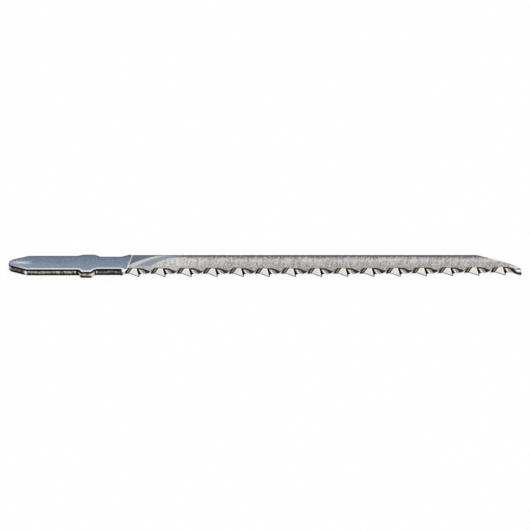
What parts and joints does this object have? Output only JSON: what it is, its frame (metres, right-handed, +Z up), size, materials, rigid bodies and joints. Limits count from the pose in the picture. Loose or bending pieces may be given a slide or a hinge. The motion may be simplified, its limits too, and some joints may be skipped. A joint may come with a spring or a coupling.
{
  "type": "jigsaw blade",
  "caption": "Slim steel jigsaw blade with a lugged shank, cross-ground teeth that point to either face in turn, and a sloping free end.",
  "frame": {"origin": "middle of the underside of the bounding box, on the face that the blade lies on", "axes": "+X along the blade from the shank to the free end, the teeth point to -Y, +Z up through the face with the rolled edge"},
  "size_m": [0.118, 0.008, 0.0015],
  "materials": {
    "ground_tool_steel": "ground, with a brushed grain"
  },
  "bodies": {
    "root": {"blade": "ground_tool_steel"}
  },
  "joints": []
}
